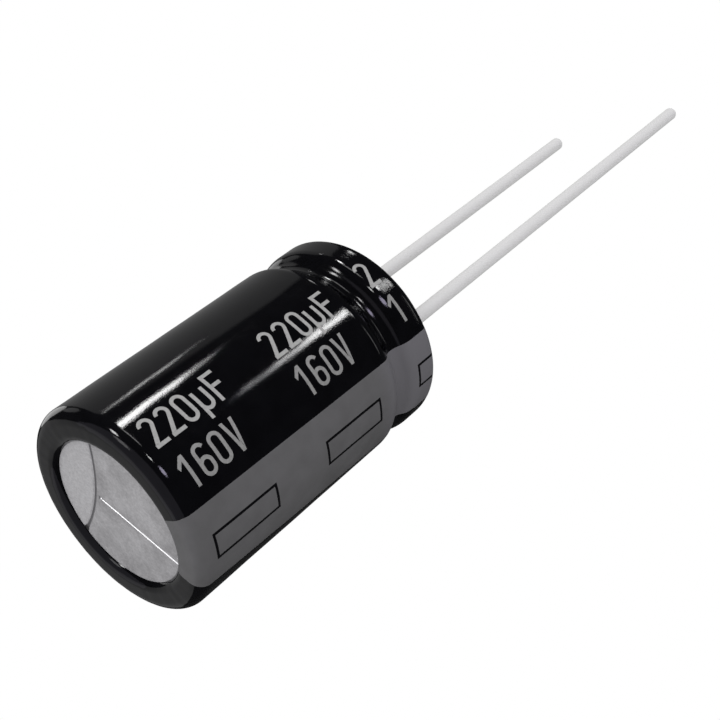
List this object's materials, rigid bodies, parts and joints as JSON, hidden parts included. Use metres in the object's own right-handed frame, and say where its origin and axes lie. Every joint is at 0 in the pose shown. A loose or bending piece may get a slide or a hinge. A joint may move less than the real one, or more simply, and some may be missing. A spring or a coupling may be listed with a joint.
{
  "type": "electrolytic capacitor",
  "caption": "Upright cylindrical aluminium capacitor in a shrunk black film sleeve, with a scored vent end, a rubber end seal and parallel wire leads of unequal length.",
  "frame": {"origin": "centre of the can end, on the lowest plane of the sleeve's lip, so the part stands on z = 0", "axes": "+Z along the can's axis towards the leads; +X from the can's axis towards the long lead; +Y completes the right-handed frame"},
  "size_m": [0.0164, 0.0164, 0.0729],
  "materials": {
    "sleeve_film": "glossy black shrink film with a grey printed stripe",
    "can_aluminium": "matt drawn aluminium",
    "seal_rubber": "matt moulded rubber",
    "tinned_wire": "matt tin plating on steel-cored wire",
    "tab_aluminium": "bright pressed aluminium",
    "wound_foil_paper": "electrolyte-soaked paper over etched foil",
    "roll_tape": "yellow adhesive film tape"
  },
  "bodies": {
    "root": {"sleeve": "sleeve_film", "can": "can_aluminium", "rubber_seal": "seal_rubber", "long_lead_wire": "tinned_wire", "short_lead_wire": "tinned_wire", "long_lead_tab": "tab_aluminium", "short_lead_tab": "tab_aluminium", "wound_element": "wound_foil_paper", "winding_tape": "roll_tape"}
  },
  "joints": []
}
